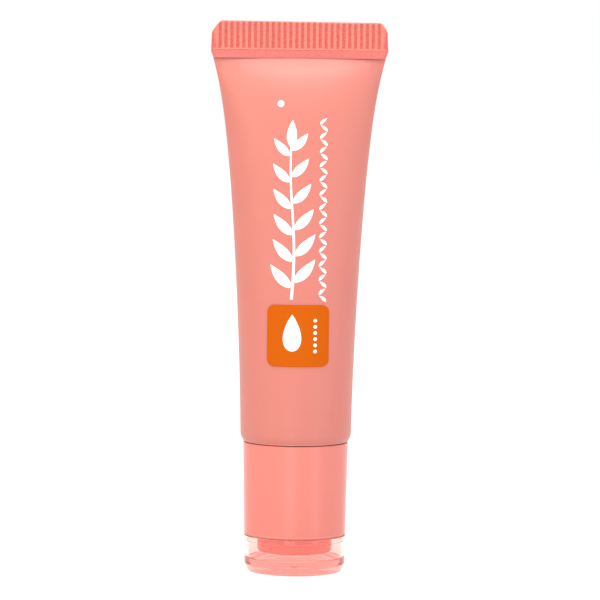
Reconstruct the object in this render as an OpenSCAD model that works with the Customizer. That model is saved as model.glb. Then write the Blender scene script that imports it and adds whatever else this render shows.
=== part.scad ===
// Squeeze tube for lip gloss. It stands on its screw cap, with the flat seal on top.
// +Z runs up the tube, the front faces -Y, and the origin is the centre of the cap's foot.

/* [Tube] */
// Diameter of the sleeve at its round lower end
tube_d = 19; // [16:0.5:32]
// Height of the sleeve, from its lower edge up to the seal
sleeve_h = 65.05; // [40:0.05:110]
// Wall thickness of the sleeve
sleeve_wall = 0.5; // [0.3:0.05:0.8]
// Height of the rounded turn at the sleeve's lower edge
turn_h = 0.9; // [0.3:0.05:1.2]
// Share of the widening that happens in the short flare just under the seal
flare_share = 0.3; // [0.1:0.05:0.5]
// Length of that flare, as a share of the sleeve's height
flare_length = 0.12; // [0.05:0.01:0.3]
// How late the rest of the widening starts (1 is a straight taper)
widening_power = 1.58; // [1:0.02:2.5]

/* [Seal] */
// Height of the flat seal
seal_h = 6.25; // [4:0.05:10]
// Thickness of the two welded walls
seal_t = 1.1; // [0.8:0.05:1.6]
// Height of the plain bar below the ribs
bar_h = 1.35; // [0.8:0.05:2.5]
// How far the top of the pressed bar spreads past the flattened sleeve, on each side
bar_spread = 0.2; // [0:0.05:0.4]
// How far the ribbed part spreads past the flattened sleeve, on each side
rib_spread = 0.13; // [0:0.01:0.4]
// How far the sleeve draws in under the bar, on each side
draw_in = 0.25; // [0.1:0.05:0.5]
// Distance from one rib to the next
rib_pitch = 1; // [0.8:0.05:2]
// Width of a rib
rib_w = 0.45; // [0.3:0.05:0.7]
// How far a rib stands out of the seal
rib_stand = 0.18; // [0.05:0.01:0.3]
// Width of the cut across the left top corner
left_cut_w = 1.6; // [0.5:0.1:3]
// Height of the cut across the left top corner
left_cut_h = 2.2; // [0.5:0.1:3]
// Width of the cut across the right top corner
right_cut_w = 1.2; // [0.5:0.1:3]
// Height of the cut across the right top corner
right_cut_h = 1.8; // [0.5:0.1:3]
// Slope of the trimmed top edge, in degrees
trim_slope = 0.45; // [0:0.05:1]

/* [Head and neck] */
// Height of the rim that shows between the sleeve and the cap
rim_h = 0.2; // [0.2:0.05:2]
// How far the rim is set back from the sleeve
rim_step = 0.47; // [0.3:0.01:0.8]
// Height of the collar that stands inside the sleeve
collar_h = 1.6; // [1:0.1:4]
// Thickness of the shoulder plate and the collar
head_wall = 1; // [0.7:0.05:1.5]
// How far the shoulder drops from the rim to the neck
shoulder_drop = 1.4; // [0.8:0.1:2.5]
// Diameter of the neck, below its thread ridge
neck_d = 9.1; // [7.5:0.01:9.8]
// Length of the neck below the shoulder
neck_l = 8.58; // [7:0.01:9.2]
// Wall thickness of the neck
neck_wall = 1.55; // [1:0.05:2]

/* [Thread] */
// Pitch of the thread
thread_pitch = 2; // [1.6:0.1:2.4]
// How far a ridge stands out
ridge_depth = 0.65; // [0.4:0.05:0.8]
// Width of a ridge at its root
ridge_root_w = 1; // [0.7:0.05:1.1]
// Width of a ridge at its crest
ridge_crest_w = 0.5; // [0.3:0.05:0.7]
// Number of turns of the neck's ridge
ridge_turns = 2.25; // [1.5:0.25:2.5]
// Clearance between a crest and the wall across from it
thread_gap = 0.2; // [0.1:0.05:0.3]

/* [Applicator tip] */
// How far the tip is set back from the neck, on each side
tip_step = 0.75; // [0.5:0.05:1]
// How much the tip narrows towards its end, on each side
tip_taper = 0.9; // [0.3:0.05:1.2]
// Angle of the slanted face, from horizontal
slant = 45; // [30:1:50]
// Diameter of the hole that the gloss comes out of
orifice_d = 1.6; // [0.8:0.1:2]
// Length of the plug that snaps into the neck
plug_l = 4; // [2:0.1:6]

/* [Cap] */
// Height of the cap
cap_h = 22.15; // [21:0.05:30]
// How far the cap is set back from the sleeve at its top edge
cap_step = 0.5; // [0.4:0.05:1]
// How much narrower each side of the cap is at its foot
cap_draft = 0.4; // [0:0.05:0.8]
// Wall thickness of the coloured skirt
skirt_wall = 1.1; // [0.8:0.05:1.3]
// Thickness of the plate that closes the skirt
plate_t = 1.1; // [0.8:0.05:2]
// Wall thickness of the threaded tube inside the skirt
thread_wall = 1; // [0.7:0.05:1.2]
// Thickness of the bottom of the well round the applicator tip
well_floor = 1; // [0.6:0.05:1.5]
// Clearance around and below the applicator tip in its well
well_gap = 0.4; // [0.25:0.05:0.8]
// Height of the clear foot
foot_h = 6.19; // [5:0.01:8]
// Wall thickness of the clear foot
foot_wall = 0.7; // [0.5:0.05:1.2]
// Thickness of the clear foot's floor
foot_floor = 2.3; // [1.5:0.05:3]
// Air between the well and the floor of the foot
foot_air = 1; // [0.5:0.05:2]
// Height of the seat in the foot's rim that the cap's lip fits
seat_h = 0.9; // [0.5:0.05:1.5]
// Width of that seat
seat_w = 0.2; // [0.1:0.05:0.4]
// Height of the bevel round the bottom of the foot
bevel_h = 1.3; // [0.5:0.05:2]
// Width of the bevel round the bottom of the foot
bevel_w = 0.65; // [0.2:0.05:1]
// Height of the domed recess under the foot, as a share of the floor's thickness
recess_share = 0.4; // [0.1:0.05:0.6]
// Width of the flat ring that the foot stands on
ring_w = 0.45; // [0.3:0.05:2]
// Radius of the moulding dimple in the middle of the recess
dimple_r = 0.75; // [0.4:0.05:1.5]
// Depth of the moulding dimple
dimple_h = 0.2; // [0.1:0.05:0.5]

/* [Sealing ring] */
// Thickness of the sealing ring
gasket_t = 0.78; // [0.5:0.01:1.2]
// Gap between the sealing ring and the applicator tip
gasket_gap = 0.15; // [0.1:0.05:0.3]

/* [Front label] */
// Width and height of the label
label_size = 10.45; // [6:0.05:12]
// Radius of the label's corners
label_corner = 1.25; // [0.5:0.05:3]
// Height of the label's centre above the sleeve's lower edge
label_z = 18.4; // [10:0.05:40]
// How far the label's centre lies to the right
label_x = 0.22; // [-1:0.01:1]
// Thickness of the label
label_t = 0.1; // [0.05:0.01:0.2]

/* [Clearances] */
// Gap at the seam between the cap and the rim
seam_gap = 0.15; // [0.05:0.01:0.3]
// Gap between pieces that snap or press together
snap_gap = 0.03; // [0.01:0.01:0.05]
// Gap between the gloss and the walls that hold it
gloss_gap = 0.12; // [0.05:0.01:0.3]
// Height of the air above the gloss, up to the seal
air_h = 16; // [5:1:30]

/* [Hidden] */
$fn = 96;

tube_r = tube_d / 2;
neck_r = neck_d / 2;
neck_bore_r = neck_r - neck_wall;
tip_r = neck_r - tip_step;
tip_end_r = tip_r - tip_taper;

// Heights, from the foot of the cap upwards
rim_z = cap_h + seam_gap;
sleeve_z = rim_z + rim_h;
seal_z = sleeve_z + sleeve_h;
top_z = seal_z + seal_h;
neck_z = rim_z - shoulder_drop - neck_l;
ledge_z = neck_z - gasket_t - 2 * snap_gap;
post_z = foot_floor + foot_air;
well_z = post_z + well_floor;
tip_z = well_z + well_gap;
funnel_z = sleeve_z + collar_h * 0.4;
recess_h = foot_floor * recess_share;

// Half widths of the flattened end. The sleeve's girth is the same at every height.
girth = PI * tube_d;
flat_half = girth / 4;
bar_half = flat_half + bar_spread;
rib_half = flat_half + rib_spread;
top_half = flat_half - draw_in;

// The cap's radii
cap_r = tube_r - cap_step;
function cap_r_at(z) = cap_r - cap_draft * (cap_h - z) / cap_h;
rim_r = tube_r - rim_step;
thread_bore_r = neck_r + ridge_depth + thread_gap;
thread_tube_r = thread_bore_r + thread_wall;
well_r = tip_r + well_gap;
post_round = 0.6;

// Corner rounds and small edges
edge = 0.2;
embed = 0.1;

// ---- the sleeve's shape ----

// Half width at a height: the lower end is round, and the upper end widens to the seal
function half_width(z) =
    let (down = min(1, max(0, (seal_z - z) / sleeve_h)))
    tube_r + (top_half - tube_r)
        * ((1 - flare_share) * pow(1 - down, widening_power)
           + flare_share * exp(-down / flare_length));

function ellipse_girth(a, b) = PI * (3 * (a + b) - sqrt((3 * a + b) * (a + 3 * b)));

// Half depth that leaves the girth as it is, found by halving an interval
function depth_for(a, low, high, turns = 20) =
    let (mid = (low + high) / 2)
    turns == 0 ? mid
    : ellipse_girth(a, mid) > girth ? depth_for(a, low, mid, turns - 1)
    : depth_for(a, mid, high, turns - 1);

// Near the seal the walls come together over this length
closing_l = 1.6;
function half_depth(z) =
    let (full = depth_for(half_width(z), seal_t / 2, tube_r + 1))
    seal_t / 2 + (full - seal_t / 2) * (1 - exp(-max(0, seal_z - z) / closing_l));

// The section is an ellipse below, and gets sharper side edges near the seal
edge_sharpness = 0.5;
sharp_l = 9;
function sharpness(z) = 1 + edge_sharpness * exp(-max(0, seal_z - z) / sharp_l);

// One ring of points: the section at a height, moved outwards (or inwards, below 0)
function ring(z, out, sides) =
    let (a = half_width(z) + out)
    let (b = max(0.05, half_depth(z) + out))
    [for (i = [0:sides - 1])
        let (t = 360 * i / sides)
        [a * sin(t), -b * sign(cos(t)) * pow(abs(cos(t)), sharpness(z)), z]];

function round_ring(z, r, sides) =
    [for (i = [0:sides - 1]) let (t = 360 * i / sides) [r * sin(t), -r * cos(t), z]];

// Side faces between rings of points that follow each other
function skin_faces(rings, sides) =
    [for (k = [0:rings - 2], i = [0:sides - 1])
        let (a = k * sides + i, b = k * sides + (i + 1) % sides)
        for (f = [[a, a + sides, b], [b, a + sides, b + sides]]) f];

function flat(rings) = [for (r = rings, p = r) p];

// A closed solid from a stack of rings. Its first and last rings are filled flat.
module stack(rings) {
    sides = len(rings[0]);
    last = (len(rings) - 1) * sides;
    first_face = [for (i = [0:sides - 1]) i];
    last_face = [for (i = [sides - 1:-1:0]) last + i];
    polyhedron(flat(rings), concat(skin_faces(len(rings), sides), [first_face, last_face]));
}

// Heights between the lower edge and the seal, closer together near the seal
function sleeve_heights(low, high, count) =
    [for (k = [0:count]) let (s = k / count) low + (high - low) * (1 - pow(1 - s, 1.8))];

// ---- the screw thread ----

ridge_steps = 24;

// A right-hand helical ridge whose ends run out into the wall
module ridge(root_r, crest_r, z, turns) {
    steps = ceil(turns * ridge_steps);
    run_out = 4;
    sections = [for (i = [0:steps])
        let (t = 360 * i / ridge_steps)
        let (grow = max(0.2, min(1, min(i, steps - i) / run_out)))
        let (crest = root_r + (crest_r - root_r) * grow)
        let (mid = z + thread_pitch * i / ridge_steps)
        [for (q = [[root_r, -ridge_root_w / 2], [crest, -ridge_crest_w / 2],
                   [crest, ridge_crest_w / 2], [root_r, ridge_root_w / 2]])
            [q[0] * cos(t), q[0] * sin(t), mid + q[1]]]];
    stack(crest_r < root_r ? sections : [for (s = sections) [s[3], s[2], s[1], s[0]]]);
}

// ---- the pieces ----

// Points of a quarter round, from the direction of one angle to another
function arc(centre, r, from, to, steps = 4) =
    [for (k = [0:steps]) let (t = from + (to - from) * k / steps) centre + r * [cos(t), sin(t)]];

// A ball whose top stands out of a plane as a dome of one radius and height
function dome_r(r, h) = (r * r + h * h) / (2 * h);
module dome(r, h, z) {
    translate([0, 0, z + h - dome_r(r, h)]) sphere(dome_r(r, h));
}

// Clear foot: a cup with a thick floor and a bevelled edge, recessed underneath
module cap_foot() {
    r_low = cap_r_at(bevel_h);
    r_top = cap_r_at(foot_h);
    r_in = cap_r_at(foot_floor) - foot_wall;
    recess_r = r_low - bevel_w - ring_w;
    ball_r = dome_r(recess_r, recess_h);
    dimple_sag = ball_r - sqrt(pow(ball_r, 2) - pow(dimple_r, 2));
    round_r = 0.3;
    color([1, 0.86, 0.84, 0.45]) difference() {
        rotate_extrude()
            polygon(concat([
                [0, 0],
                [r_low - bevel_w, 0],
                [r_low - edge, bevel_h - 2 * edge],
                [r_low, bevel_h + edge],
                [r_top, foot_h - snap_gap],
                [r_top - foot_wall + seat_w, foot_h - snap_gap],
                [r_top - foot_wall + seat_w, foot_h - seat_h],
                [r_top - foot_wall, foot_h - seat_h]],
                arc([r_in - round_r, foot_floor + round_r], round_r, 0, -90),
                [[0, foot_floor]]));
        dome(recess_r, recess_h, 0);
        dome(dimple_r, dimple_h, recess_h - dimple_sag);
    }
}

// Coloured cap: skirt, threaded tube, and the well that closes round the tip
module cap_body() {
    r_low = cap_r_at(foot_h);
    skirt_r = r_low - skirt_wall;
    plate_z = foot_h + plate_t;
    tube_top = rim_z - shoulder_drop - edge;
    color("salmon") {
        rotate_extrude()
            polygon(concat(
                [[0, post_z]],
                arc([thread_tube_r - post_round, post_z + post_round], post_round, -90, 0),
                [
                    [thread_tube_r, foot_h],
                    [r_low, foot_h],
                    [r_low + edge / 3, foot_h + edge],
                    [r_low, foot_h + 2 * edge],
                    [cap_r - edge / 8, cap_h - edge],
                    [cap_r - edge, cap_h],
                    [cap_r - skirt_wall + edge, cap_h],
                    [cap_r - skirt_wall, cap_h - edge],
                    [skirt_r, plate_z],
                    [thread_tube_r, plate_z],
                    [thread_tube_r, tube_top - edge],
                    [thread_tube_r - edge, tube_top],
                    [thread_bore_r + edge, tube_top],
                    [thread_bore_r, tube_top - edge],
                    [thread_bore_r, ledge_z],
                    [well_r, ledge_z],
                    [tip_end_r + well_gap, well_z],
                    [0, well_z]]));
        ridge(thread_bore_r + embed, thread_bore_r - ridge_depth,
              neck_z + thread_pitch * 1.1, ridge_turns);
    }
}

// Soft ring that the neck presses on when the cap is screwed home
module cap_gasket() {
    inner = tip_r + gasket_gap;
    outer = thread_bore_r - thread_gap;
    z = ledge_z + snap_gap;
    color("white") rotate_extrude()
        polygon([
            [inner, z], [outer, z], [outer, z + gasket_t - edge],
            [outer - edge, z + gasket_t], [inner + edge, z + gasket_t],
            [inner, z + gasket_t - edge]]);
}

// Head: rim, shoulder and threaded neck, with a collar that stands inside the sleeve
module tube_head() {
    collar_r = rim_r - sleeve_wall - snap_gap;
    shelf_r = cap_r - skirt_wall;
    base_z = rim_z - shoulder_drop;
    color("salmon") {
        rotate_extrude()
            polygon([
                [neck_bore_r, neck_z],
                [neck_r - edge, neck_z],
                [neck_r, neck_z + edge],
                [neck_r, base_z - edge],
                [neck_r + edge, base_z],
                [shelf_r, rim_z],
                [rim_r, rim_z],
                [rim_r, sleeve_z],
                [collar_r, sleeve_z],
                [collar_r, sleeve_z + collar_h],
                [collar_r - head_wall / 2, sleeve_z + collar_h],
                [collar_r - head_wall, funnel_z],
                [neck_r + edge, base_z + head_wall],
                [neck_bore_r, base_z + head_wall / 2]]);
        ridge(neck_r - embed, neck_r + ridge_depth, neck_z + thread_pitch * 0.6, ridge_turns);
    }
}

// Soft tip with a slanted face, snapped into the end of the neck
module applicator_tip() {
    plug_r = neck_bore_r - snap_gap;
    bore_r = orifice_d / 2;
    lip_h = 0.7;
    color("mistyrose") difference() {
        rotate_extrude()
            polygon([
                [bore_r, tip_z],
                [tip_end_r - edge, tip_z],
                [tip_end_r, tip_z + edge],
                [tip_r, neck_z - lip_h],
                [tip_r, neck_z],
                [plug_r, neck_z],
                [plug_r, neck_z + plug_l - 2 * edge],
                [plug_r - 2 * edge, neck_z + plug_l],
                [bore_r + 2 * edge, neck_z + plug_l],
                [bore_r, neck_z + plug_l - 2 * edge]]);
        translate([-tip_end_r, 0, tip_z])
            rotate([0, -slant, 0])
                translate([0, -tip_r * 2, -tip_r * 4])
                    cube([tip_r * 6, tip_r * 4, tip_r * 4]);
    }
}

// Outline of the seal, in its own plane
module seal_outline() {
    drop = tan(trim_slope);
    rib_z = seal_z + bar_h;
    left_in = rib_half - left_cut_w;
    right_in = rib_half - right_cut_w;
    polygon([
        [-top_half, seal_z], [top_half, seal_z], [bar_half, rib_z], [rib_half, rib_z],
        [rib_half, top_z - right_cut_h - rib_half * drop], [right_in, top_z - right_in * drop],
        [-left_in, top_z + left_in * drop], [-rib_half, top_z - left_cut_h + rib_half * drop],
        [-rib_half, rib_z], [-bar_half, rib_z]]);
}

// One upright rib, which stands out of both faces of the seal
module rib(x) {
    low = seal_z + bar_h + rib_w;
    hull() {
        for (z = [low, top_z + 1])
            translate([x, 0, z])
                scale([rib_w / 2, seal_t / 2 + rib_stand, rib_w / 2])
                    sphere(r = 1, $fn = 8);
    }
}

// Sleeve: one thin wall, round below and pressed flat into the ribbed seal above
module tube_sleeve() {
    sides = 48;
    lip = [for (t = [0:30:90])
        round_ring(sleeve_z + turn_h * (1 - cos(t)), rim_r + (tube_r - rim_r) * sin(t), sides)];
    outer = [for (z = sleeve_heights(sleeve_z + turn_h * 2, seal_z - embed, 24)) ring(z, 0, sides)];
    inner = [for (z = sleeve_heights(sleeve_z + turn_h * 2, seal_z - edge, 20))
        ring(z, -sleeve_wall, sides)];
    mouth = round_ring(sleeve_z, rim_r - sleeve_wall, sides);
    count = floor((rib_half - rib_w / 2) / rib_pitch);
    color("lightsalmon") {
        difference() {
            stack(concat(lip, outer, [ring(seal_z + edge, -edge / 2, sides)]));
            stack(concat([[for (p = mouth) [p[0], p[1], p[2] - 1]], mouth], inner));
        }
        intersection() {
            union() {
                translate([0, seal_t / 2, 0])
                    rotate([90, 0, 0]) linear_extrude(seal_t) seal_outline();
                for (k = [-count:count]) rib(k * rib_pitch);
            }
            translate([0, seal_t, 0]) rotate([90, 0, 0]) linear_extrude(seal_t * 2) seal_outline();
        }
    }
}

// The gloss: it fills the sleeve from the head up to an air space under the seal
module gloss_fill() {
    sides = 36;
    bore_r = neck_bore_r - gloss_gap;
    base_z = rim_z - shoulder_drop + head_wall;
    out = -sleeve_wall - gloss_gap;
    body_z = sleeve_z + collar_h + gloss_gap;
    funnel_r = rim_r - sleeve_wall - snap_gap - head_wall - gloss_gap;
    body = [for (z = sleeve_heights(body_z, seal_z - air_h, 14)) ring(z, out, sides)];
    color("lightcoral") stack(concat([
        round_ring(neck_z + plug_l + gloss_gap, bore_r, sides),
        round_ring(base_z - head_wall / 2 + gloss_gap, bore_r, sides),
        round_ring(base_z + gloss_gap, neck_r, sides),
        round_ring(funnel_z + gloss_gap, funnel_r, sides),
        round_ring(body_z - gloss_gap / 4, funnel_r, sides)], body));
}

// Point on the front of the sleeve
function front_point(x, z, out) =
    let (a = half_width(z) + out, b = half_depth(z) + out)
    [x, -b * pow(sqrt(1 - pow(x / a, 2)), sharpness(z)), z];

// Label: a thin square with round corners, bent to the sleeve's front
module front_label() {
    cells = 10;
    half = label_size / 2;
    steps = [-1, -0.97, -0.9, -0.8, -0.5, 0, 0.5, 0.8, 0.9, 0.97, 1];
    rows = [for (s = steps)
        let (past = max(0, abs(s) * half - (half - label_corner)))
        let (w = half - label_corner + sqrt(pow(label_corner, 2) - pow(min(past, label_corner * 0.98), 2)))
        [w, sleeve_z + label_z + s * half]];
    function side(out) = [for (r = rows, k = [0:cells])
        front_point(label_x + r[0] * (2 * k / cells - 1), r[1], out)];
    back = snap_gap;
    row_n = cells + 1;
    total = len(rows) * row_n;
    function grid(base, flip) = [for (j = [0:len(rows) - 2], k = [0:cells - 1])
        let (p = base + j * row_n + k)
        for (f = flip ? [[p, p + row_n, p + 1], [p + 1, p + row_n, p + row_n + 1]]
                      : [[p, p + 1, p + row_n], [p + 1, p + row_n + 1, p + row_n]]) f];
    rim = concat(
        [for (k = [0:cells]) k],
        [for (j = [1:len(rows) - 1]) j * row_n + cells],
        [for (k = [cells - 1:-1:0]) (len(rows) - 1) * row_n + k],
        [for (j = [len(rows) - 2:-1:1]) j * row_n]);
    walls = [for (i = [0:len(rim) - 1])
        let (a = rim[i], b = rim[(i + 1) % len(rim)])
        for (f = [[a, b, a + total], [b, b + total, a + total]]) f];
    color("darkorange") polyhedron(concat(side(back + label_t), side(back)),
        concat(grid(0, true), grid(total, false), walls));
}

cap_foot();
cap_body();
cap_gasket();
tube_head();
applicator_tip();
tube_sleeve();
gloss_fill();
front_label();
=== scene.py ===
"""Looks of the lip gloss tube: fine meshes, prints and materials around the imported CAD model.

Lengths are written in millimetres, in the CAD frame, and become metres when a mesh is made.
"""
import functools
import math

import bmesh
import bpy
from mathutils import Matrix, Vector


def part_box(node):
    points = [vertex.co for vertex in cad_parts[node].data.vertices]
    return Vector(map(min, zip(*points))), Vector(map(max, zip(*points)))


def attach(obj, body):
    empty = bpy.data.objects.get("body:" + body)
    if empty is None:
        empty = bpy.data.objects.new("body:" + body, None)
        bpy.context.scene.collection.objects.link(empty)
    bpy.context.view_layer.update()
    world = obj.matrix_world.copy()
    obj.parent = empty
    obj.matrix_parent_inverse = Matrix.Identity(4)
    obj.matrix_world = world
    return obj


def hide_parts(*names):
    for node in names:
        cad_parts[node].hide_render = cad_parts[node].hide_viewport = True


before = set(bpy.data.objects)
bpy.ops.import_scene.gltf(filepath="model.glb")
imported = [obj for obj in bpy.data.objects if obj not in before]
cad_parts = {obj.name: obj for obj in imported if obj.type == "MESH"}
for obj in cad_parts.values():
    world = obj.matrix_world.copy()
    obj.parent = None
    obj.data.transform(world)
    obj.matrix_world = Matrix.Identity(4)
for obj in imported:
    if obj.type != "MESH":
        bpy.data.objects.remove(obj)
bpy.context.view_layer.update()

MM = 0.001


def box_mm(node):
    """Lowest and highest corner of a CAD node, in millimetres."""
    low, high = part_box(node)
    return low / MM, high / MM


# ---- sizes read from the frame ----

SEAM_GAP = 0.15
SNAP_GAP = 0.03

cap_low, cap_high = box_mm("cap_body")
sleeve_low, sleeve_high = box_mm("tube_sleeve")
label_low, label_high = box_mm("front_label")
tube_r = sleeve_high.y
bar_half = sleeve_high.x
cap_h = cap_high.z
foot_h = box_mm("cap_foot")[1].z + SNAP_GAP
post_z = cap_low.z
sleeve_z = sleeve_low.z
rim_z = cap_h + SEAM_GAP
tip_z = box_mm("applicator_tip")[0].z
neck_z = box_mm("tube_head")[0].z

# ---- sizes that the boxes don't show, as in the CAD source ----

# Sleeve and seal
SLEEVE_H = 65.05
SLEEVE_WALL = 0.5
TURN_H = 0.9
FLARE_SHARE = 0.3
FLARE_LENGTH = 0.12
WIDENING_POWER = 1.58
CLOSING_L = 1.6
EDGE_SHARPNESS = 0.5
SHARP_L = 9
SEAL_H = 6.25
SEAL_T = 1.1
BAR_H = 1.35
RIB_PITCH = 1.0
RIB_SPREAD = 0.13
DRAW_IN = 0.25
TRIM_SLOPE = math.radians(0.45)

# Cap
CAP_STEP = 0.5
CAP_DRAFT = 0.4
SKIRT_WALL = 1.1
PLATE_T = 1.1
WELL_FLOOR = 1.0
WELL_GAP = 0.4
THREAD_WALL = 1.0
GASKET_T = 0.78

# Thread
THREAD_GAP = 0.2
THREAD_PITCH = 2.0
RIDGE_DEPTH = 0.65
RIDGE_ROOT_W = 1.0
RIDGE_CREST_W = 0.5
RIDGE_TURNS = 2.25
# Where each ridge starts above the neck's end, in pitches, and how deep its root is in the wall
NECK_RIDGE_START = 0.6
CAP_RIDGE_START = 1.1
RIDGE_EMBED = 0.1

# Head and tip
RIM_STEP = 0.47
NECK_R = 4.55
NECK_WALL = 1.55
TIP_STEP = 0.75
TIP_TAPER = 0.9
TIP_LIP_H = 0.7
SLANT = math.radians(45)
ORIFICE_R = 0.8
PLUG_L = 4.0
SHOULDER_DROP = 1.4
HEAD_WALL = 1.0
COLLAR_H = 1.6
FUNNEL_SHARE = 0.4

# Clear foot
FOOT_WALL = 0.7
FOOT_FLOOR = 2.3
SEAT_H = 0.9
SEAT_W = 0.2
BEVEL_H = 1.3
BEVEL_W = 0.65
RECESS_SHARE = 0.4
RING_W = 0.45
DIMPLE_R = 0.75
DIMPLE_H = 0.2

seal_z = sleeve_z + SLEEVE_H
top_z = seal_z + SEAL_H
girth = 2 * math.pi * tube_r
flat_half = girth / 4
rib_half = flat_half + RIB_SPREAD
top_half = flat_half - DRAW_IN
cap_r = tube_r - CAP_STEP
rim_r = tube_r - RIM_STEP
neck_bore_r = NECK_R - NECK_WALL
tip_r = NECK_R - TIP_STEP
tip_end_r = tip_r - TIP_TAPER
recess_h = FOOT_FLOOR * RECESS_SHARE
thread_bore_r = NECK_R + RIDGE_DEPTH + THREAD_GAP
thread_tube_r = thread_bore_r + THREAD_WALL
funnel_z = sleeve_z + COLLAR_H * FUNNEL_SHARE


def cap_r_at(z):
    """Outer radius of the cap: each side is a little narrower at the foot."""
    return cap_r - CAP_DRAFT * (cap_h - z) / cap_h


# ---- the sleeve's shape ----

def half_width(z):
    """Half width of the sleeve: its round end widens upwards to the seal."""
    down = min(1, max(0, (seal_z - z) / SLEEVE_H))
    slow = (1 - FLARE_SHARE) * (1 - down) ** WIDENING_POWER
    flare = FLARE_SHARE * math.exp(-down / FLARE_LENGTH)
    return tube_r + (top_half - tube_r) * (slow + flare)


def ellipse_girth(a, b):
    """Girth of an ellipse from its two half axes, by Ramanujan's formula."""
    return math.pi * (3 * (a + b) - math.sqrt((3 * a + b) * (a + 3 * b)))


@functools.lru_cache(maxsize=None)
def half_depth(z):
    """Half depth that keeps the girth, except where the walls come together under the seal."""
    a = half_width(z)
    low, high = SEAL_T / 2, tube_r + 1
    for _ in range(24):
        mid = (low + high) / 2
        if ellipse_girth(a, mid) > girth:
            high = mid
        else:
            low = mid
    closed = SEAL_T / 2
    return closed + (low - closed) * (1 - math.exp(-max(0, seal_z - z) / CLOSING_L))


def sharpness(z):
    """Power of the section's curve: 1 is an ellipse, and more sharpens its side edges."""
    return 1 + EDGE_SHARPNESS * math.exp(-max(0, seal_z - z) / SHARP_L)


def front_point(x, z, out):
    """Point on the front of the sleeve, moved outwards."""
    a = half_width(z) + out
    b = half_depth(z) + out
    return (x, -b * max(0, 1 - (x / a) ** 2) ** (sharpness(z) / 2), z)


# ---- mesh helpers ----

# Radius below which an outline point counts as on the axis
ON_AXIS = 1e-6
# Sides of the turned pieces
CAP_SIDES = 256
HEAD_SIDES = 192
TIP_SIDES = 128


def make_piece(name, points, faces, material, body, sharp=math.radians(32)):
    """A mesh piece in metres that rides on a body, with smooth faces and sharp corners."""
    mesh = bpy.data.meshes.new(name)
    mesh.from_pydata([Vector(p) * MM for p in points], [], faces)
    bm = bmesh.new()
    bm.from_mesh(mesh)
    bmesh.ops.recalc_face_normals(bm, faces=bm.faces)
    bm.to_mesh(mesh)
    bm.free()
    mesh.shade_smooth()
    mesh.set_sharp_from_angle(angle=sharp)
    mesh.materials.append(material)
    piece = bpy.data.objects.new(name, mesh)
    bpy.context.scene.collection.objects.link(piece)
    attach(piece, body)
    return piece


def rounded(corners, steps=4):
    """Outline through corners given as (r, z, rounding), each with its rounding drawn as an arc."""
    outline = []
    count = len(corners)
    for i, (r, z, rounding) in enumerate(corners):
        corner = Vector((r, z))
        if rounding == 0:
            outline.append(corner)
            continue
        before = (Vector(corners[i - 1][:2]) - corner).normalized()
        after = (Vector(corners[(i + 1) % count][:2]) - corner).normalized()
        half = before.angle(after) / 2
        centre = corner + (before + after).normalized() * rounding / math.sin(half)
        start = corner + before * rounding / math.tan(half) - centre
        end = corner + after * rounding / math.tan(half) - centre
        support = rounding * 0.35
        outline.append(centre + start + before * support)
        arc = [start.normalized().slerp(end.normalized(), k / steps) for k in range(steps + 1)]
        outline += [centre + rounding * way for way in arc]
        outline.append(centre + end + after * support)
    return outline


def lathe_mesh(outline, sides):
    """Points and faces of a turned solid. Outline points on the axis become poles."""
    points, rings, faces = [], [], []
    for r, z in outline:
        if r < ON_AXIS:
            rings.append([len(points)] * sides)
            points.append((0, 0, z))
            continue
        rings.append(list(range(len(points), len(points) + sides)))
        for i in range(sides):
            t = 2 * math.pi * i / sides
            points.append((r * math.sin(t), -r * math.cos(t), z))
    pairs = list(zip(rings, rings[1:]))
    if outline[0][0] > ON_AXIS:
        pairs.append((rings[-1], rings[0]))
    for a, b in pairs:
        for i in range(sides):
            j = (i + 1) % sides
            face = list(dict.fromkeys([a[i], a[j], b[j], b[i]]))
            if len(face) > 2:
                faces.append(face)
    return points, faces


def ridge_mesh(root_r, crest_r, z, turns, steps_per_turn=72):
    """Points and faces of a right-hand screw ridge whose ends run out into the wall."""
    crest_round = 0.14
    least_grow = 0.1
    side = 1 if crest_r > root_r else -1
    depth = abs(crest_r - root_r)
    steps = int(turns * steps_per_turn)
    run_out = steps_per_turn / 6
    section = rounded([
        (0, -RIDGE_ROOT_W / 2, 0),
        (depth, -RIDGE_CREST_W / 2, crest_round),
        (depth, RIDGE_CREST_W / 2, crest_round),
        (0, RIDGE_ROOT_W / 2, 0)], 3)
    points, faces = [], []
    for i in range(steps + 1):
        t = 2 * math.pi * i / steps_per_turn
        grow = max(least_grow, math.sin(math.pi / 2 * min(1, min(i, steps - i) / run_out)))
        for out, up in section:
            r = root_r + side * out * grow
            points.append((r * math.cos(t), r * math.sin(t),
                           z + THREAD_PITCH * i / steps_per_turn + up))
    n = len(section)
    for i in range(steps):
        for k in range(n):
            m = (k + 1) % n
            faces.append([i * n + k, i * n + m, (i + 1) * n + m, (i + 1) * n + k])
    faces.append(list(range(n)))
    faces.append([steps * n + k for k in range(n)])
    return points, faces


def joined(*meshes):
    """Several point and face lists as one."""
    points, faces = [], []
    for more_points, more_faces in meshes:
        start = len(points)
        points += more_points
        faces += [[start + v for v in face] for face in more_faces]
    return points, faces


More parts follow.
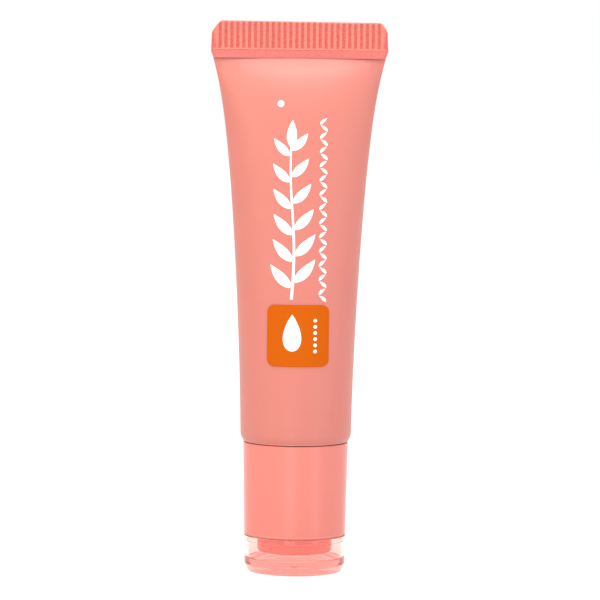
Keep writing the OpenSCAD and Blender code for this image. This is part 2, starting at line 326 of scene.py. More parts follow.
def slab_mesh(rows, low, high):
    """A thin closed slab on the sleeve's front. Each row is a list of (x, z) places."""
    across = len(rows[0])
    size = len(rows) * across
    points = [front_point(x, z, high) for row in rows for x, z in row]
    points += [front_point(x, z, low) for row in rows for x, z in row]
    faces = []
    for j in range(len(rows) - 1):
        for k in range(across - 1):
            a = j * across + k
            quad = [a, a + 1, a + across + 1, a + across]
            faces += [quad, [size + v for v in reversed(quad)]]
    last = (len(rows) - 1) * across
    rim = list(range(across))
    rim += [j * across + across - 1 for j in range(1, len(rows))]
    rim += [last + k for k in range(across - 2, -1, -1)]
    rim += [j * across for j in range(len(rows) - 2, 0, -1)]
    for a, b in zip(rim, rim[1:] + rim[:1]):
        faces.append([a, a + size, b + size, b])
    return points, faces


# ---- materials ----

# How far a rib stands out, and half the seal's thickness over its crest and in the valley beside it
RIB_STAND = 0.19
CREST_Y = SEAL_T / 2 + RIB_STAND
VALLEY_Y = SEAL_T / 2


class Nodes:
    """Small helper for building one material's node tree."""

    def __init__(self, name):
        self.material = bpy.data.materials.new(name)
        self.material.use_nodes = True
        self.tree = self.material.node_tree
        self.shader = self.tree.nodes["Principled BSDF"]
        self.place = self.add("ShaderNodeTexCoord").outputs["Object"]

    def add(self, kind, **values):
        """A new node, with values for its inputs."""
        node = self.tree.nodes.new(kind)
        for key, value in values.items():
            node.inputs[key.replace("_", " ")].default_value = value
        return node

    def link(self, source, target):
        self.tree.links.new(source, target)

    def set(self, **values):
        """Sets sockets of the shader."""
        for key, value in values.items():
            self.shader.inputs[key.replace("_", " ")].default_value = value

    def noise(self, scale, detail, stretch=(1, 1, 1)):
        """Noise in object space. Scale is in features per metre."""
        spread = self.add("ShaderNodeMapping")
        spread.inputs["Scale"].default_value = stretch
        self.link(self.place, spread.inputs["Vector"])
        node = self.add("ShaderNodeTexNoise", Scale=scale, Detail=detail, Roughness=0.5)
        self.link(spread.outputs["Vector"], node.inputs["Vector"])
        return node.outputs["Fac"]

    def spread(self, source, low, high, from_low=0.3, from_high=0.7):
        """Maps a value onto a range."""
        node = self.add("ShaderNodeMapRange")
        node.inputs["From Min"].default_value = from_low
        node.inputs["From Max"].default_value = from_high
        node.inputs["To Min"].default_value = low
        node.inputs["To Max"].default_value = high
        self.link(source, node.inputs["Value"])
        return node.outputs["Result"]

    def blend(self, source, first, second):
        """Mixes two colours by a value."""
        node = self.tree.nodes.new("ShaderNodeMix")
        node.data_type = "RGBA"
        sockets = [s for s in node.inputs if s.enabled]
        self.link(source, sockets[0])
        for socket, colour in zip(sockets[1:], (first, second)):
            if isinstance(colour, tuple):
                socket.default_value = (*colour, 1)
            else:
                self.link(colour, socket)
        return next(s for s in node.outputs if s.enabled)

    def axis(self, name):
        """A coordinate in object space, in metres."""
        split = self.add("ShaderNodeSeparateXYZ")
        self.link(self.place, split.inputs["Vector"])
        return split.outputs[name]

    def height(self, low, high):
        """0 below a height and 1 above another, in millimetres."""
        return self.spread(self.axis("Z"), 0, 1, low * MM, high * MM)

    def depth(self, low, high):
        """0 nearer to the middle plane than a distance and 1 past another, in millimetres."""
        away = self.tree.nodes.new("ShaderNodeMath")
        away.operation = "ABSOLUTE"
        self.link(self.axis("Y"), away.inputs[0])
        return self.spread(away.outputs[0], 0, 1, low * MM, high * MM)

    def bump(self, source, distance, under=None):
        """Bump of a height in metres, on top of another bump if one is given."""
        node = self.add("ShaderNodeBump", Distance=distance, Strength=1.0)
        self.link(source, node.inputs["Height"])
        if under is not None:
            self.link(under, node.inputs["Normal"])
        return node.outputs["Normal"]


def moulded(name, colour, shade, rough, grain=0.000002, specular=0.5,
            painted_light_colour=None, low_z=0):
    """Injection-moulded plastic: slow colour drift, uneven gloss and shallow flow waves.

    Below a height it can take painted light: a brighter colour where the clear foot keeps the lamps
    off it.
    """
    n = Nodes(name)
    drift = n.blend(n.spread(n.noise(180, 2), 0, 1), colour, shade)
    # Painted light: below the given height the colour is brighter, standing in for light that the
    # clear foot holds back
    if painted_light_colour:
        drift = n.blend(n.height(low_z - 0.1, low_z), painted_light_colour, drift)
    n.link(drift, n.shader.inputs["Base Color"])
    n.link(n.spread(n.noise(700, 4), rough * 0.8, rough * 1.25), n.shader.inputs["Roughness"])
    waves = n.bump(n.noise(260, 2, stretch=(1, 1, 0.25)), 0.00002)
    n.link(n.bump(n.noise(6000, 3), grain, under=waves), n.shader.inputs["Normal"])
    n.set(IOR=1.45, Specular_IOR_Level=specular)
    return n.material


SLEEVE_LIGHT = (0.475, 0.143, 0.112)
SLEEVE_DARK = (0.462, 0.138, 0.11)
BAR_COLOUR = (0.53, 0.121, 0.1)
# The valley colour is painted shade and the crest colour is painted light, following the ribs' relief
VALLEY_PAINTED_SHADE = (0.5, 0.086, 0.07)
CREST_PAINTED_LIGHT = (0.52, 0.155, 0.112)


def sleeve_plastic():
    """Soft-touch tube wall: satin, a little glossier and deeper in colour where it was welded, with
    painted shade in the ribs' valleys and painted light on their crests.
    """
    n = Nodes("sleeve_plastic")
    body = n.blend(n.spread(n.noise(120, 2), 0, 1), SLEEVE_LIGHT, SLEEVE_DARK)
    weld = n.height(seal_z - 0.2, seal_z + 0.3)
    ribs = n.height(seal_z + BAR_H, seal_z + BAR_H + 0.15)
    # Painted shade in the valleys and painted light on the crests, set by how far the surface stands
    # out
    pressed = n.depth(VALLEY_Y + 0.04, CREST_Y - 0.03)
    ribbed = n.blend(pressed, VALLEY_PAINTED_SHADE, CREST_PAINTED_LIGHT)
    joint = n.blend(ribs, BAR_COLOUR, ribbed)
    n.link(n.blend(weld, body, joint), n.shader.inputs["Base Color"])
    satin = n.spread(n.noise(2500, 4), 0.36, 0.44)
    gloss = n.spread(weld, 0, -0.12, 0, 1)
    total = n.tree.nodes.new("ShaderNodeMath")
    n.link(satin, total.inputs[0])
    n.link(gloss, total.inputs[1])
    n.link(total.outputs[0], n.shader.inputs["Roughness"])
    soft = n.bump(n.noise(90, 2), 0.00003)
    n.link(n.bump(n.noise(7000, 2), 0.0000008, under=soft), n.shader.inputs["Normal"])
    n.set(IOR=1.48, Specular_IOR_Level=0.35)
    return n.material


def clear_plastic():
    """Glassy foot: pink in its depth, with a very faint painted glow."""
    n = Nodes("clear_foot_plastic")
    n.set(IOR=1.5, Transmission_Weight=1.0, Roughness=0.0)
    n.shader.inputs["Base Color"].default_value = (1, 0.74, 0.69, 1)
    # Painted light: a faint coral glow in the glass, which is no lamp
    n.shader.inputs["Emission Color"].default_value = (1, 0.2, 0.16, 1)
    n.set(Emission_Strength=0.06)
    n.link(n.bump(n.noise(300, 2), 0.000002), n.shader.inputs["Normal"])
    depth = n.tree.nodes.new("ShaderNodeVolumeAbsorption")
    depth.inputs["Color"].default_value = (1.0, 0.1, 0.0, 1)
    depth.inputs["Density"].default_value = 57
    n.link(depth.outputs[0], n.tree.nodes["Material Output"].inputs["Volume"])
    return n.material


def printed(name, colour, shade, rough, specular=0.5):
    """Screen-printed ink: a thin even film with a fine mottle."""
    n = Nodes(name)
    n.link(n.blend(n.spread(n.noise(3000, 4), 0, 1), colour, shade), n.shader.inputs["Base Color"])
    n.link(n.spread(n.noise(1500, 3), rough * 0.85, rough * 1.2), n.shader.inputs["Roughness"])
    n.link(n.bump(n.noise(12000, 2), 0.000001), n.shader.inputs["Normal"])
    n.set(Specular_IOR_Level=specular)
    return n.material


def soft_tip():
    """Soft milky plastic of the applicator tip."""
    n = Nodes("tip_plastic")
    n.link(n.blend(n.spread(n.noise(300, 3), 0, 1), (0.62, 0.34, 0.28), (0.58, 0.3, 0.25)),
           n.shader.inputs["Base Color"])
    n.link(n.spread(n.noise(1500, 3), 0.3, 0.42), n.shader.inputs["Roughness"])
    n.link(n.bump(n.noise(5000, 3), 0.000003), n.shader.inputs["Normal"])
    n.set(Subsurface_Weight=0.4, Subsurface_Scale=0.0015)
    return n.material


def gloss_liquid():
    """The lip gloss itself: wet and deep coral."""
    n = Nodes("gloss_liquid")
    n.link(n.blend(n.spread(n.noise(150, 3), 0, 1), (0.8, 0.16, 0.1), (0.7, 0.1, 0.06)),
           n.shader.inputs["Base Color"])
    n.link(n.spread(n.noise(400, 2), 0.05, 0.12), n.shader.inputs["Roughness"])
    n.set(Coat_Weight=1.0, Coat_Roughness=0.03)
    return n.material


# Below the foot's top the cap's post is painted brighter: painted light where the clear foot keeps
# the lamps off it
cap_plastic = moulded("cap_plastic", (0.57, 0.17, 0.138), (0.558, 0.166, 0.135), 0.18,
                      specular=0.22, painted_light_colour=(0.86, 0.26, 0.21), low_z=foot_h)
head_plastic = moulded("head_plastic", (0.54, 0.156, 0.124), (0.53, 0.15, 0.12), 0.3)
ring_plastic = moulded("ring_plastic", (0.82, 0.8, 0.77), (0.78, 0.76, 0.73), 0.45, grain=0.00001)
tube_plastic = sleeve_plastic()
foot_plastic = clear_plastic()
tip_plastic = soft_tip()
liquid = gloss_liquid()
white_ink = printed("white_ink", (0.8, 0.78, 0.77), (0.76, 0.74, 0.73), 0.4)
orange_ink = printed("orange_ink", (0.435, 0.077, 0.0), (0.425, 0.073, 0.0), 0.6,
                     specular=0.06)


# ---- the cap ----

def dome_points(r, h, z, from_r=0.0, steps=16):
    """Points up a dome of one radius and height, from its rim to its middle or an inner radius."""
    ball = (r * r + h * h) / (2 * h)
    points = []
    for k in range(steps + 1):
        at = r + (from_r - r) * k / steps
        points.append(Vector((at, z + h - ball + math.sqrt(ball * ball - at * at))))
    return points


def build_foot():
    """Clear cup with a thick floor, a bevelled edge and a domed recess underneath."""
    r_low = cap_r_at(BEVEL_H)
    r_top = cap_r_at(foot_h)
    r_in = cap_r_at(FOOT_FLOOR) - FOOT_WALL
    top = foot_h - SNAP_GAP
    recess_r = r_low - BEVEL_W - RING_W
    recess = dome_points(recess_r, recess_h, 0, DIMPLE_R, 24)
    dimple = dome_points(DIMPLE_R, DIMPLE_H, recess[-1][1], 0, 10)
    outline = rounded([
        (0, FOOT_FLOOR, 0),
        (r_in, FOOT_FLOOR, 0.3),
        (r_top - FOOT_WALL, top - SEAT_H, 0.04),
        (r_top - FOOT_WALL + SEAT_W, top - SEAT_H, 0.04),
        (r_top - FOOT_WALL + SEAT_W, top, 0.05),
        (r_top, top, 0.08),
        (r_low, BEVEL_H, 0.45),
        (r_low - BEVEL_W, 0, 0.12),
        (recess_r, 0, 0)])
    outline += recess[1:] + dimple[1:]
    piece = make_piece("clear_foot", *lathe_mesh(outline, CAP_SIDES), foot_plastic, "cap")
    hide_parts("cap_foot")


# The thin groove where the clear foot meets the skirt, and the rolled lip above it
GROOVE_W = 0.2
GROOVE_H = 0.14
LIP_Z = 0.3
LIP_PROUD = 0.07
LIP_TOP_Z = 0.5


def build_cap():
    """Coloured cap: skirt with a rolled lower lip, threaded tube and the well round the tip."""
    r_low = cap_r_at(foot_h)
    skirt_in = r_low - SKIRT_WALL
    plate_z = foot_h + PLATE_T
    well_z = post_z + WELL_FLOOR
    ledge_z = neck_z - GASKET_T - 2 * SNAP_GAP
    tube_top = rim_z - SHOULDER_DROP - THREAD_GAP
    outline = rounded([
        (0, post_z, 0),
        (thread_tube_r, post_z, 0.6),
        (thread_tube_r, foot_h, 0),
        (r_low - GROOVE_W, foot_h, 0),
        (r_low - GROOVE_W, foot_h + GROOVE_H, 0.03),
        (r_low, foot_h + GROOVE_H, 0.05),
        (r_low + LIP_PROUD, foot_h + LIP_Z, 0.08),
        (r_low + 0.005, foot_h + LIP_TOP_Z, 0.1),
        (cap_r, cap_h, 0.14),
        (cap_r - SKIRT_WALL, cap_h, 0.2),
        (skirt_in, plate_z, 0.3),
        (thread_tube_r, plate_z, 0.2),
        (thread_tube_r, tube_top, 0.25),
        (thread_bore_r, tube_top, 0.25),
        (thread_bore_r, ledge_z, 0),
        (tip_r + WELL_GAP, ledge_z, 0.15),
        (tip_end_r + WELL_GAP, well_z, 0.3),
        (0, well_z, 0)])
    thread = ridge_mesh(thread_bore_r + RIDGE_EMBED, thread_bore_r - RIDGE_DEPTH,
                        neck_z + THREAD_PITCH * CAP_RIDGE_START, RIDGE_TURNS)
    shape = joined(lathe_mesh(outline, CAP_SIDES), thread)
    piece = make_piece("coral_cap", *shape, cap_plastic, "cap")
    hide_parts("cap_body")


# ---- the head and the tip ----

# The face across from the cap's top: its inner part drops by a step, so that the seam looks dark
SEAM_STEP = 0.09
SEAM_DEPTH = 0.4


def build_head():
    """Head: rim, shoulder and threaded neck, with a collar that stands inside the sleeve."""
    collar_r = rim_r - SLEEVE_WALL - SNAP_GAP
    base_z = rim_z - SHOULDER_DROP
    outline = rounded([
        (neck_bore_r, neck_z, 0.1),
        (NECK_R, neck_z, 0.25),
        (NECK_R, base_z, 0.3),
        (cap_r - SKIRT_WALL, rim_z - SEAM_STEP, 0.3),
        (cap_r - SEAM_DEPTH, rim_z - SEAM_STEP, 0),
        (cap_r - SEAM_DEPTH, rim_z, 0),
        (rim_r, rim_z, 0.08),
        (rim_r, sleeve_z, 0.02),
        (collar_r, sleeve_z, 0),
        (collar_r, sleeve_z + COLLAR_H, 0.1),
        (collar_r - HEAD_WALL / 2, sleeve_z + COLLAR_H, 0.1),
        (collar_r - HEAD_WALL, funnel_z, 0.2),
        (NECK_R + 0.2, base_z + HEAD_WALL, 0.3),
        (neck_bore_r, base_z + HEAD_WALL / 2, 0.2)])
    thread = ridge_mesh(NECK_R - RIDGE_EMBED, NECK_R + RIDGE_DEPTH,
                        neck_z + THREAD_PITCH * NECK_RIDGE_START, RIDGE_TURNS)
    shape = joined(lathe_mesh(outline, HEAD_SIDES), thread)
    piece = make_piece("threaded_head", *shape, head_plastic, "tube")
    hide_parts("tube_head")


def build_tip():
    """Soft tip: a tapered end with a slanted face, whose edge is rounded over."""
    lip_z = neck_z - TIP_LIP_H
    wall_rows = 40
    face_rows = 14
    outline = [Vector((ORIFICE_R, lip_z - (lip_z - tip_z) * k / wall_rows))
               for k in range(wall_rows + 1)]
    outline += [Vector((ORIFICE_R + (tip_end_r - ORIFICE_R) * k / face_rows, tip_z))
                for k in range(1, face_rows)]
    for k in range(wall_rows + 1):
        s = k / wall_rows
        outline.append(Vector((tip_end_r + (tip_r - tip_end_r) * s, tip_z + (lip_z - tip_z) * s)))
    plug_r = neck_bore_r - SNAP_GAP
    top = neck_z + PLUG_L
    outline += rounded([
        (tip_r, lip_z, 0), (tip_r, neck_z, 0.08), (plug_r, neck_z, 0.05), (plug_r, top, 0.4),
        (ORIFICE_R, top, 0.4), (ORIFICE_R, lip_z, 0)])[1:-1]
    points, faces = lathe_mesh(outline, TIP_SIDES)
    # Points below the slanted face are lifted onto it, with a soft change between the two
    softness = 0.28
    moved = []
    for x, y, z in points:
        face_z = tip_z + (x + tip_end_r) * math.tan(SLANT)
        gap = z - face_z
        lifted = face_z + (gap + math.sqrt(gap * gap + softness * softness)) / 2
        fade = min(1, max(0, (z - lip_z) / (neck_z - lip_z)))
        moved.append((x, y, lifted + (z - lifted) * fade))
    piece = make_piece("slanted_tip", moved, faces, tip_plastic, "tube")
    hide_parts("applicator_tip")


# ---- the sleeve and its crimped seal ----

# Steps across the front and across the back, and steps round each side edge
FRONT_STEPS = 270
EDGE_STEPS = 10
EDGE_ANGLE = math.radians(80)
EDGE_SHARE = math.sin(EDGE_ANGLE)
# How far the wall's points have shifted to even widths at the seal, where 1 is all the way
EVEN_AT_SEAL = 0.97
# How much closer together the wall's rings lie near the seal, where 1 is evenly spaced
RING_PACKING = 1.7

# Rows of rings up the outer and the inner wall, and how far below the seal the inner one ends
WALL_ROWS = 64
INNER_ROWS = 14
INNER_TOP_GAP = 0.4
# Just over the seal's lower edge the wall steps in to this share of its depth
PINCH = 0.86
PINCH_H = 0.03

# The bar's half thickness at its lower edge, and how far it swells above that
BAR_LOW_Y = SEAL_T / 2 - 0.02
BAR_CROWN = 0.2
# The crease between the bar and the ribs, and the height of the plain band that the ribs stand on
CREASE_DEPTH = 0.05
CREASE_H = 0.06
FOOT_BAND_H = 0.2
# Where a rib's crest starts on the wave across the ribs, and how much further it is full
CREST_START = 0.14
CREST_RISE = 0.52
# Shares of the ribs' height between which the valleys are at their full depth
VALLEY_LOW = 0.03
VALLEY_HIGH = 0.93
# How much the ribbed part narrows on each side towards the top
TOP_NARROWING = 0.1
# Width and height of the cut at each top corner, and how curved a cut is, where 1 is straight
LEFT_CUT = (2.0, 2.2)
RIGHT_CUT = (1.45, 1.8)
CUT_CURVE = 1.6


def sleeve_ring(z, out, level):
    """One ring round the sleeve. Its points shift from even angles to even widths up the sleeve."""
    a = half_width(z) + out
    b = max(0.05, half_depth(z) + out)
    power = sharpness(z)
    half = []
    for k in range(FRONT_STEPS + 1):
        q = 2 * k / FRONT_STEPS - 1
        even = math.sin(EDGE_ANGLE * q) / EDGE_SHARE
        share = EDGE_SHARE * (even + (q - even) * level)
        half.append((a * share, -b * (1 - share * share) ** (power / 2)))
    edge = []
    for k in range(1, EDGE_STEPS):
        t = EDGE_ANGLE + 2 * (math.pi / 2 - EDGE_ANGLE) * k / EDGE_STEPS
        side = math.copysign(abs(math.cos(t)) ** power, math.cos(t))
        edge.append((a * math.sin(t), -b * side))
    ring = half + edge + [(-x, -y) for x, y in half + edge]
    return [(x, y, z) for x, y in ring]


def trimmed_top(x):
    """Height of the seal's top edge: a slightly slanted cut with both corners taken off."""
    top = top_z - x * math.tan(TRIM_SLOPE)
    width, height = LEFT_CUT if x < 0 else RIGHT_CUT
    past = max(0, abs(x) - (rib_half - width)) / width
    return top - height * min(1, past) ** CUT_CURVE


def seal_ring(up, face, half, top_share=None):
    """One ring round the seal, at a height above its lower edge or a share of the ribs' height."""
    front = []
    for k in range(FRONT_STEPS + 1):
        q = 2 * k / FRONT_STEPS - 1
        x = (half - CREST_Y) * q
        front.append((x, -face(x)))
    edge = []
    end_y = face(half - CREST_Y)
    for k in range(1, EDGE_STEPS):
        t = math.pi * k / EDGE_STEPS
        edge.append((half - CREST_Y * (1 - math.sin(t)), -end_y * math.cos(t)))
    ring = front + edge + [(-x, -y) for x, y in front + edge]
    low = seal_z + up
    if top_share is None:
        return [(x, y, low) for x, y in ring]
    return [(x, y, low + (trimmed_top(x) - low) * top_share) for x, y in ring]


def rib_face(open_share, drop=0.0):
    """Half thickness across the ribs: narrow crests with wider valleys pressed between them."""
    def face(x):
        wave = 0.5 + 0.5 * math.cos(2 * math.pi * x / RIB_PITCH)
        crest = min(1, max(0, (wave - CREST_START) / CREST_RISE))
        crest = crest * crest * (3 - 2 * crest)
        return CREST_Y - drop - (CREST_Y - VALLEY_Y) * (1 - crest) * open_share
    return face


def flat_face(y):
    """The same half thickness all the way across."""
    return lambda x: y


def turn_rings():
    """Rings of the rounded turn at the sleeve's lower edge, from the rim's radius outwards."""
    steps = 10
    height = TURN_H * 1.9
    rings = []
    for k in range(steps + 1):
        s = (k / steps) ** 1.3
        r = rim_r + (tube_r - rim_r) * (1 - (1 - s) ** 3)
        z = sleeve_z + height * s
        scale = r / half_width(z)
        rings.append([(x * scale, y * scale, z) for x, y, z in sleeve_ring(z, 0, 0)])
    return rings


def wall_rings(rows, top, out):
    """Rings of the sleeve's wall from above its lower turn up to a height, moved outwards."""
    low = sleeve_z + TURN_H * 2
    rings = []
    for k in range(rows + 1):
        s = k / rows
        z = low + (top - low) * (1 - (1 - s) ** RING_PACKING)
        rings.append(sleeve_ring(z, out, EVEN_AT_SEAL * s * s * (3 - 2 * s)))
    return rings


def bar_rings():
    """Rings of the plain bar: it swells and spreads upwards, and a crease ends it."""
    rows = 12
    start = 0.04
    side_slant = bar_half - top_half + 0.02
    rings = []
    for k in range(rows + 1):
        s = k / rows
        crown = BAR_LOW_Y + BAR_CROWN * math.sin(math.pi / 2 * min(1, 0.05 + s * 1.15)) ** 1.1
        half = bar_half - side_slant * (1 - s) ** 1.2
        rings.append(seal_ring(start + (BAR_H - start) * s, flat_face(crown), half))
    crease = BAR_LOW_Y + BAR_CROWN - CREASE_DEPTH
    rings.append(seal_ring(BAR_H + CREASE_H / 2, flat_face(crease), bar_half - 0.02))
    return rings


def rib_rings():
    """Rings of the ribs, from the band that they stand on up to the rounded top edge."""
    band_z = BAR_H + CREASE_H
    rib_z = band_z + FOOT_BAND_H
    rings = [
        seal_ring(band_z, flat_face(CREST_Y - CREASE_DEPTH), bar_half - 0.03),
        seal_ring(band_z + 0.05, flat_face(CREST_Y), rib_half),
        seal_ring(rib_z - 0.06, rib_face(0.04), rib_half)]
    for share, opened in ((0.0, 0.3), (0.012, 0.75), (VALLEY_LOW, 1.0)):
        rings.append(seal_ring(rib_z, rib_face(opened), rib_half, share))
    rows = 14
    for k in range(1, rows + 1):
        share = VALLEY_LOW + (VALLEY_HIGH - VALLEY_LOW) * k / rows
        narrow = TOP_NARROWING * k / rows
        rings.append(seal_ring(rib_z, rib_face(1.0), rib_half - narrow, share))
    for share, opened, drop in ((0.945, 0.7, 0.0), (0.96, 0.25, 0.02), (0.975, 0.1, 0.06),
                                (0.99, 0.0, 0.14), (1.0, 0.0, 0.26)):
        half = rib_half - TOP_NARROWING - drop / 2
        rings.append(seal_ring(rib_z, rib_face(opened, drop), half, share))
    return rings


def skin_faces(start, count, around, inward=False):
    """Side faces between rings of points that follow each other."""
    faces = []
    for j in range(count - 1):
        low, high = start + j * around, start + (j + 1) * around
        for k in range(around):
            m = (k + 1) % around
            if inward:
                faces.append([low + k, high + k, high + m, low + m])
            else:
                faces.append([low + k, low + m, high + m, high + k])
    return faces


def build_sleeve():
    """The sleeve as one closed skin: lower turn, wall, bar, ribs and top, then the inner wall."""
    outside = turn_rings() + wall_rings(WALL_ROWS, seal_z, 0)
    outside.append([(x, y * PINCH, seal_z + PINCH_H) for x, y, z in outside[-1]])
    outside += bar_rings() + rib_rings()
    mouth_r = rim_r - SLEEVE_WALL
    inside = [[(x * mouth_r / tube_r, y * mouth_r / tube_r, sleeve_z)
               for x, y, z in sleeve_ring(sleeve_z, 0, 0)]]
    inside += wall_rings(INNER_ROWS, seal_z - INNER_TOP_GAP, -SLEEVE_WALL)
    around = len(inside[0])
    inner_start = len(outside) * around
    points = [p for ring in outside + inside for p in ring]
    faces = skin_faces(0, len(outside), around)
    faces += bridge_halves(inner_start - around, around)
    for k in range(around):
        m = (k + 1) % around
        faces.append([k, inner_start + k, inner_start + m, m])
    faces += skin_faces(inner_start, len(inside), around, inward=True)
    faces += bridge_halves(len(points) - around, around)
    piece = make_piece("crimped_sleeve", points, faces, tube_plastic, "tube", math.radians(40))
    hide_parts("tube_sleeve")


def bridge_halves(start, around):
    """Faces across a flat ring, from each front point to the back point behind it."""
    half = around // 2
    side_points = half - FRONT_STEPS - 1
    faces = []
    for k in range(FRONT_STEPS):
        back = start + around - 1 - side_points - k
        faces.append([start + k, start + k + 1, back - 1, back])
    left = [start + around - side_points + k for k in range(side_points)]
    faces.append([start, start + half + FRONT_STEPS] + left)
    right = [start + FRONT_STEPS + k for k in range(side_points + 1)]
    faces.append(right + [start + half])
    return faces


# ---- the prints ----

# Heights of the ink's underside and top over the sleeve
INK_LOW = 0.004
INK_HIGH = 0.022
# Places of the prints: across, and up as shares of the sleeve's height
SPRIG_X = -0.95
SPRIG_LOW = 0.377
SPRIG_HIGH = 0.84
SEED_X = 4.25
BUD_X = -3.05
BUD_UP = 0.882
BUD_R = 0.55
# The label's corners, and the heights of its film's top and of the ink on it over the sleeve
LABEL_CORNER = 1.25
FILM_HIGH = 0.1
MARK_LOW = FILM_HIGH + 0.003
MARK_HIGH = FILM_HIGH + 0.018


def strip_rows(spine, widths, across):
    """Rows of places across a line, square to it, with a half width at each of its points."""
    rows = []
    for i, (x, z) in enumerate(spine):
        x0, z0 = spine[max(0, i - 1)]
        x1, z1 = spine[min(len(spine) - 1, i + 1)]
        along = Vector((x1 - x0, z1 - z0)).normalized()
        w = max(0.015, widths[i])
        rows.append([(x - along.y * w * t, z + along.x * w * t)
                     for t in (2 * k / across - 1 for k in range(across + 1))])
    return rows


def leaf(x, z, angle, length, width, bend=0.0):
    """Rows of a pointed leaf that starts at a place and leans by an angle from upright."""
    steps = 18
    spine, widths = [], []
    for k in range(steps + 1):
        s = k / steps
        turn = angle + bend * (s - 0.5)
        if not spine:
            spine.append((x, z))
        else:
            px, pz = spine[-1]
            spine.append((px + math.sin(turn) * length / steps, pz + math.cos(turn) * length / steps))
        widths.append(width / 2 * math.sin(math.pi * s ** 0.8) ** 0.9)
    return strip_rows(spine, widths, 6)


def disc(x, z, r):
    """Rows of a filled circle."""
    steps = 12
    heights = [-math.cos(math.pi * k / steps) for k in range(steps + 1)]
    return strip_rows([(x, z + r * h) for h in heights],
                      [r * math.sqrt(max(0, 1 - h * h)) for h in heights], 6)


def sprig_shapes(x, low, high):
    """An upright sprig: a gently waving stem with leaves on both sides."""
    height = high - low
    sway = 0.35
    stem_w = 0.24
    stem_taper = 0.45
    stem_steps = 60
    pairs = 6
    first_leaf_z = 2.0
    bare_top = 3.4
    stagger = 0.9
    lean = math.radians(44)
    leaf_l = 5.3
    leaf_w = 1.75
    shorter = 1.3
    slimmer = 0.35
    leaf_bend = 0.35
    tip_leaf_l = 4.6
    tip_leaf_w = 1.7

    def stem_x(z):
        return x + sway * math.sin(2 * math.pi * (z - low) / height)

    stem_zs = [low + (height - tip_leaf_l) * k / stem_steps for k in range(stem_steps + 1)]
    widths = [stem_w * (1 - stem_taper * k / stem_steps) for k in range(stem_steps + 1)]
    shapes = [strip_rows([(stem_x(z), z) for z in stem_zs], widths, 4)]
    for i in range(pairs):
        share = i / (pairs - 1)
        z = low + first_leaf_z + (height - tip_leaf_l - bare_top) * share
        length = leaf_l - shorter * share
        width = leaf_w - slimmer * share
        for side in (-1, 1):
            at = z + (stagger if side > 0 else 0)
            shapes.append(leaf(stem_x(at) + side * 0.1, at, side * lean, length, width,
                               -side * leaf_bend))
    stem_top = high - tip_leaf_l
    shapes.append(leaf(stem_x(stem_top), stem_top, 0.05, tip_leaf_l, tip_leaf_w))
    return shapes


def seed_shapes(x, low, high):
    """A slim upright border of small seeds that lean left and right in turn."""
    count = 26
    seed_l = 1.55
    seed_w = 0.5
    lean = math.radians(47)
    step_out = 0.62
    last_seed_h = 1.2
    shapes = []
    for i in range(count):
        side = 1 if i % 2 else -1
        z = low + (high - low - last_seed_h) * i / (count - 1)
        shapes.append(leaf(x - side * step_out, z, side * lean, seed_l, seed_w, side * 0.5))
    return shapes


def drop_rows(x, z, r, height):
    """Rows of a drop: a round bottom drawn out to a point at the top."""
    steps = 26
    fullness = 2.0736
    pointing = 0.95
    spine, widths = [], []
    for k in range(steps + 1):
        up = (1 - math.cos(math.pi * k / steps)) / 2
        spine.append((x, z - r + height * up))
        widths.append(fullness * r * math.sqrt(up) * max(0, 1 - up) ** pointing)
    return strip_rows(spine, widths, 12)


def ink_piece(name, shapes, low=INK_LOW, high=INK_HIGH, material=white_ink):
    """One print: thin closed slabs between two heights over the sleeve."""
    shape = joined(*[slab_mesh(rows, low, high) for rows in shapes])
    piece = make_piece(name, *shape, material, "tube")
    return piece


def build_label():
    """Orange label with round corners, and a plain drop with a line of dots printed on it."""
    half_w = (label_high.x - label_low.x) / 2
    half_h = (label_high.z - label_low.z) / 2
    centre_x = (label_high.x + label_low.x) / 2
    centre_z = (label_high.z + label_low.z) / 2
    across = 24

    def row(z_share):
        past = max(0, abs(z_share) * half_h - (half_h - LABEL_CORNER))
        w = half_w - LABEL_CORNER + math.sqrt(max(0, LABEL_CORNER ** 2 - past ** 2))
        z = centre_z + z_share * half_h
        return [(centre_x + w * (2 * k / across - 1), z) for k in range(across + 1)]

    straight = 1 - LABEL_CORNER / half_h
    shares = [straight + (1 - straight) * math.sin(math.pi / 2 * k / 8) for k in range(9)]
    heights = [-s for s in reversed(shares)] + [straight * t for t in (-0.6, -0.2, 0.2, 0.6)] + shares
    rows = [row(s) for s in heights]
    piece = ink_piece("orange_label", [rows], INK_LOW, FILM_HIGH, orange_ink)
    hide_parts("front_label")
    drop = drop_rows(centre_x - 1.0, centre_z - 0.7, r=1.9, height=6.2)
    ink_piece("label_drop", [drop], MARK_LOW, MARK_HIGH)
    dot_count = 6
    dot_line_h = 5.2
    dot_zs = [centre_z + dot_line_h * (k / (dot_count - 1) - 0.5) for k in range(dot_count)]
    dots = [disc(centre_x + 2.9, z, r=0.3) for z in dot_zs]
    ink_piece("label_dots", dots, MARK_LOW, MARK_HIGH)


def build_prints():
    """White ornament on the sleeve: a tall sprig, a slim seed border beside it and a bud above."""
    low = sleeve_z + SLEEVE_H * SPRIG_LOW
    high = sleeve_z + SLEEVE_H * SPRIG_HIGH
    ink_piece("sprig_print", sprig_shapes(SPRIG_X, low, high))
    ink_piece("seed_border_print", seed_shapes(SEED_X, low - 0.4, high + 0.5))
    ink_piece("bud_print", [disc(BUD_X, sleeve_z + SLEEVE_H * BUD_UP, BUD_R)])


def dress(node, material):
    """Gives a CAD node that is shown as it is its own material."""
    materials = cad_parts[node].data.materials
    materials.clear()
    materials.append(material)


build_foot()
build_cap()
build_head()
build_tip()
build_sleeve()
build_label()
build_prints()
dress("cap_gasket", ring_plastic)
dress("gloss_fill", liquid)


# ---- floor, light and camera ----

# In metres
MIDDLE = Vector((0, 0, 0.05))
FLOOR_Z = -0.00003
BOARD_Z = -0.00002


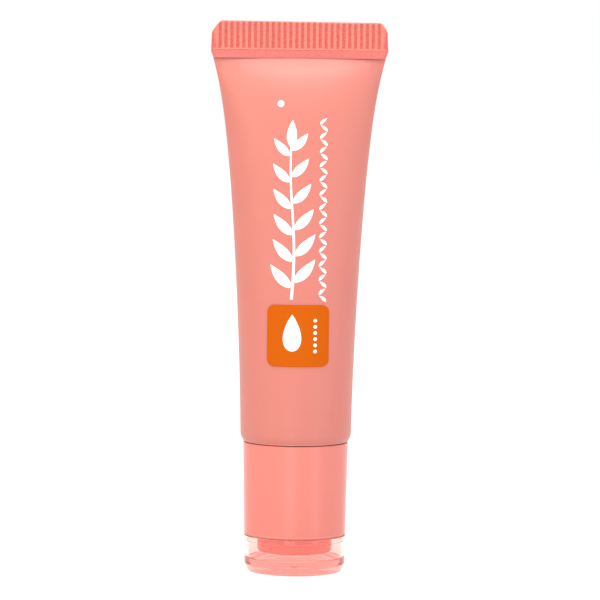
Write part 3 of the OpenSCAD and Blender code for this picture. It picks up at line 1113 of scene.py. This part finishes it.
def build_floor():
    """Plain pale floor just under the foot."""
    n = Nodes("pale_floor")
    n.link(n.blend(n.noise(8, 2), (0.31, 0.31, 0.31), (0.29, 0.29, 0.29)),
           n.shader.inputs["Base Color"])
    n.set(Roughness=0.7, Emission_Strength=0.72)
    n.shader.inputs["Emission Color"].default_value = (1, 1, 1, 1)
    half = 3.0
    mesh = bpy.data.meshes.new("floor")
    corners = [(-half, -half), (half, -half), (half, half), (-half, half)]
    mesh.from_pydata([(x, y, FLOOR_Z) for x, y in corners], [], [(0, 1, 2, 3)])
    mesh.materials.append(n.material)
    floor = bpy.data.objects.new("floor", mesh)
    bpy.context.scene.collection.objects.link(floor)


def place_around(azimuth, elevation, distance):
    """Place at a distance from the middle of the object. Azimuth 0 is in front, 90 on the right."""
    a, e = math.radians(azimuth), math.radians(elevation)
    way = Vector((math.sin(a) * math.cos(e), -math.cos(a) * math.cos(e), math.sin(e)))
    return MIDDLE + distance * way


def soft_box(name, place, size, radiance, colour):
    """A rectangular studio light that faces the middle of the object."""
    light = bpy.data.lights.new(name, "AREA")
    light.shape = "RECTANGLE"
    light.size, light.size_y = size
    light.energy = radiance * math.pi * size[0] * size[1]
    light.color = colour
    lamp = bpy.data.objects.new(name, light)
    lamp.location = place
    lamp.rotation_euler = (MIDDLE - place).to_track_quat("-Z", "Y").to_euler()
    bpy.context.scene.collection.objects.link(lamp)


def light_board(name, azimuth, width, near, far, glow):
    """A bluish board that lies on the floor and glows, for a soft streak in the cap.

    It widens away from the tube, and its width is given as a share of the distance.
    """
    n = Nodes(name)
    n.set(Roughness=0.8, Emission_Strength=glow)
    n.shader.inputs["Base Color"].default_value = (0.3, 0.3, 0.3, 1)
    n.shader.inputs["Emission Color"].default_value = (0.75, 0.9, 1, 1)
    a = math.radians(azimuth)
    out = Vector((math.sin(a), -math.cos(a), 0))
    side = Vector((math.cos(a), math.sin(a), 0))
    corners = [out * near - side * width * near, out * near + side * width * near,
               out * far + side * width * far, out * far - side * width * far]
    mesh = bpy.data.meshes.new(name)
    mesh.from_pydata([c + Vector((0, 0, BOARD_Z)) for c in corners], [], [(0, 1, 2, 3)])
    mesh.materials.append(n.material)
    board = bpy.data.objects.new(name, mesh)
    bpy.context.scene.collection.objects.link(board)


def build_light():
    """Even white surroundings, four soft boxes and two boards."""
    world = bpy.data.worlds.new("studio")
    bpy.context.scene.world = world
    world.use_nodes = True
    world.node_tree.nodes["Background"].inputs["Color"].default_value = (1, 1, 1, 1)
    world.node_tree.nodes["Background"].inputs["Strength"].default_value = 1.0
    soft_box("overhead", place_around(0, 84, 0.6), (0.6, 0.4), 6.4, (1.0, 0.98, 0.96))
    soft_box("front_top", place_around(0, 48, 0.75), (0.7, 0.35), 2.0, (1.0, 0.98, 0.97))
    soft_box("warm_left", place_around(-50, 25, 0.75), (0.4, 0.5), 3.0, (1.0, 0.94, 0.78))
    soft_box("cool_right", place_around(58, 15, 0.75), (0.4, 0.5), 1.2, (0.78, 0.86, 1.0))
    light_board("board_left", -11, 0.19, 0.045, 0.5, 3.2)
    light_board("board_right", 44, 0.15, 0.045, 0.5, 2.8)


def build_camera():
    """Long-lens camera in front of the tube, a little above its middle and slightly rolled."""
    distance = 530
    view_width = 102.56
    aim = Vector((0.15, 0, 46.4))
    rise = math.radians(3.7)
    roll = math.radians(-0.6)
    data = bpy.data.cameras.new("camera")
    data.sensor_width = 36
    data.lens = data.sensor_width * distance / view_width
    camera = bpy.data.objects.new("camera", data)
    camera.location = (aim + Vector((0, -math.cos(rise), math.sin(rise))) * distance) * MM
    camera.rotation_euler = (math.pi / 2 - rise, roll, 0)
    bpy.context.scene.collection.objects.link(camera)
    bpy.context.scene.camera = camera


build_floor()
build_light()
build_camera()
scene = bpy.context.scene
scene.view_settings.view_transform = "Standard"
scene.cycles.max_bounces = 20
scene.cycles.transmission_bounces = 20
